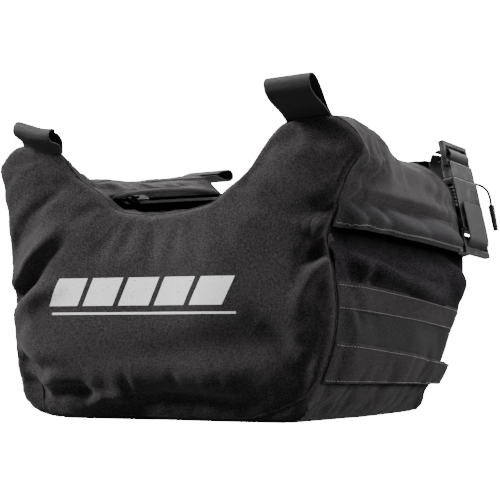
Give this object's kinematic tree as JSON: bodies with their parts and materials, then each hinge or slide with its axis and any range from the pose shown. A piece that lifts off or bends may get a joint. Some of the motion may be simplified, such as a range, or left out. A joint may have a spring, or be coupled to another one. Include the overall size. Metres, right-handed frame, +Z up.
{
  "type": "saddle sandbag",
  "caption": "Saddle-shaped canvas sandbag with two horns, a zipped U-shaped trough, flapped side pockets, webbing grab loops and a buckled strap.",
  "frame": {"origin": "centre of the base's underside", "axes": "+X to the bag's right, +Y to its back, +Z up"},
  "size_m": [0.4302, 0.4291, 0.3355],
  "materials": {
    "canvas": "brushed heavy canvas",
    "pocket_canvas": "brushed heavy canvas",
    "webbing": "ribbed nylon webbing",
    "zip_cloth": "woven tape with coil teeth",
    "dark_metal": "satin black enamel",
    "buckle_nylon": "moulded acetal, semi-gloss",
    "cord_rubber": "soft moulded grip",
    "fill_cloth": "calico inner bag"
  },
  "bodies": {
    "bag": {"panel_front": "canvas", "panel_back": "canvas", "panel_base": "canvas", "gusset_right": "canvas", "panel_trough": "canvas", "gusset_left": "canvas", "slip_hem_right": "canvas", "slip_hem_left": "canvas", "band_right": "canvas", "band_left": "canvas", "pocket_right": "pocket_canvas", "pocket_left": "pocket_canvas", "slip_pocket_right": "pocket_canvas", "slip_pocket_left": "pocket_canvas", "upper_strap": "webbing", "lower_strap": "webbing", "lower_strap_tail": "webbing", "main_zip_end_front": "webbing", "main_zip_end_back": "webbing", "main_zip_tape": "zip_cloth", "back_zip_tape": "zip_cloth", "buckle_female": "buckle_nylon", "fill_left": "fill_cloth", "fill_main": "fill_cloth", "fill_right": "fill_cloth"},
    "main_slider": {"main_zip_slider": "dark_metal"},
    "main_pull": {"main_zip_pull": "dark_metal"},
    "back_slider": {"back_zip_slider": "dark_metal", "back_zip_cord": "webbing", "back_zip_grip": "cord_rubber"},
    "right_flap": {"flap_right": "canvas"},
    "left_flap": {"flap_left": "canvas"},
    "male_half": {"buckle_male": "buckle_nylon", "upper_strap_loop": "webbing"},
    "far_prong": {"buckle_prong_far": "buckle_nylon"},
    "near_prong": {"buckle_prong_near": "buckle_nylon"},
    "front_right_loop": {"grab_loop_front_right": "webbing"},
    "front_left_loop": {"grab_loop_front_left": "webbing"},
    "back_right_loop": {"grab_loop_back_right": "webbing"},
    "back_left_loop": {"grab_loop_back_left": "webbing"}
  },
  "joints": [
    {"name": "main_zip_slide", "type": "slide", "parent": "bag", "child": "main_slider", "axis": [-0.1086, 0.991, 0.0786], "range_m": [0, 0.22]},
    {"name": "main_pull_hinge", "type": "hinge", "parent": "main_slider", "child": "main_pull", "pos_m": [-0.0666, -0.10414, 0.22802], "axis": [0.8029, 0.1341, -0.5808], "range_deg": [0, 165]},
    {"name": "back_zip_slide", "type": "slide", "parent": "bag", "child": "back_slider", "axis": [0, 0, -1], "range_m": [0, 0.05]},
    {"name": "right_flap_hinge", "type": "hinge", "parent": "bag", "child": "right_flap", "pos_m": [0.199, 0, 0.21], "axis": [0, -0.9984, 0.0562], "range_deg": [0, 100]},
    {"name": "left_flap_hinge", "type": "hinge", "parent": "bag", "child": "left_flap", "pos_m": [-0.2, 0, 0.21], "axis": [0, 0.9984, -0.0562], "range_deg": [0, 100]},
    {"name": "buckle_slide", "type": "slide", "parent": "bag", "child": "male_half", "axis": [-0.2577, 0.0906, 0.962], "range_m": [0, 0.044]},
    {"name": "far_prong_flex", "type": "hinge", "parent": "male_half", "child": "far_prong", "pos_m": [0.17362, 0.21363, 0.24935], "axis": [-0.9659, 0, -0.2588], "range_deg": [0, 25]},
    {"name": "near_prong_flex", "type": "hinge", "parent": "male_half", "child": "near_prong", "pos_m": [0.17259, 0.16981, 0.2532], "axis": [0.9659, 0, 0.2588], "range_deg": [0, 25]},
    {"name": "front_right_loop_flex", "type": "hinge", "parent": "bag", "child": "front_right_loop", "pos_m": [0.1585, -0.1445, 0.2988], "axis": [0.9982, 0, 0.0593], "range_deg": [-60, 15], "stiffness_Nm_per_rad": 0.05},
    {"name": "front_left_loop_flex", "type": "hinge", "parent": "bag", "child": "front_left_loop", "pos_m": [-0.154, -0.1445, 0.282], "axis": [0.9744, 0, -0.225], "range_deg": [-60, 10], "stiffness_Nm_per_rad": 0.05},
    {"name": "back_right_loop_flex", "type": "hinge", "parent": "bag", "child": "back_right_loop", "pos_m": [0.115, 0.1506, 0.272], "axis": [0.9976, 0, 0.0698], "range_deg": [-8, 55], "stiffness_Nm_per_rad": 0.05},
    {"name": "back_left_loop_flex", "type": "hinge", "parent": "bag", "child": "back_left_loop", "pos_m": [-0.144, 0.1506, 0.27], "axis": [0.9994, 0, 0.0349], "range_deg": [-25, 75], "stiffness_Nm_per_rad": 0.05}
  ],
  "couplings": [
    {"joint": "far_prong_flex", "follows": "buckle_slide", "rad_per_m": 9.5},
    {"joint": "near_prong_flex", "follows": "buckle_slide", "rad_per_m": 9.5}
  ]
}
